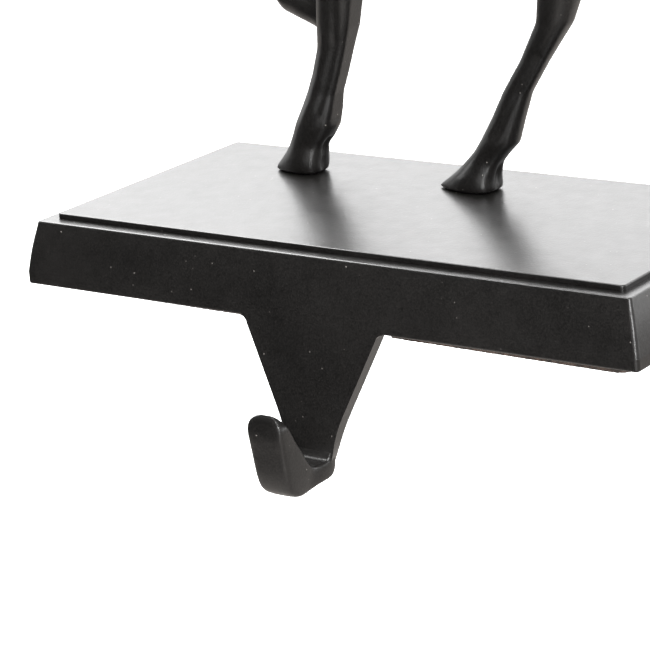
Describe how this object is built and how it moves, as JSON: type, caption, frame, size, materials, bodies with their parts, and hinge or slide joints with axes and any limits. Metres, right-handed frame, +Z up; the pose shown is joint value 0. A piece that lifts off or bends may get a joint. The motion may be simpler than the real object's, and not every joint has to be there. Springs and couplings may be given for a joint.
{
  "type": "mantel stocking holder",
  "caption": "Heavy cast base that rests on a mantel, with a V-shaped arm and open hook hanging in front and a reindeer figure standing on top.",
  "frame": {"origin": "middle of the pad's underside, the face that rests on the mantel", "axes": "+X along the mantel's front edge, to the right for a viewer in front; -Y towards that viewer; +Z up"},
  "size_m": [0.1564, 0.1066, 0.2594],
  "materials": {
    "black_paint": "satin black paint with a fine grain on cast metal",
    "zinc_steel": "zinc plated",
    "black_foam": "matt closed-cell foam rubber"
  },
  "bodies": {
    "root": {"base_casting": "black_paint", "reindeer": "black_paint", "near_fore_screw": "zinc_steel", "near_hind_screw": "zinc_steel", "far_hind_screw": "zinc_steel", "base_pad": "black_foam"}
  },
  "joints": []
}
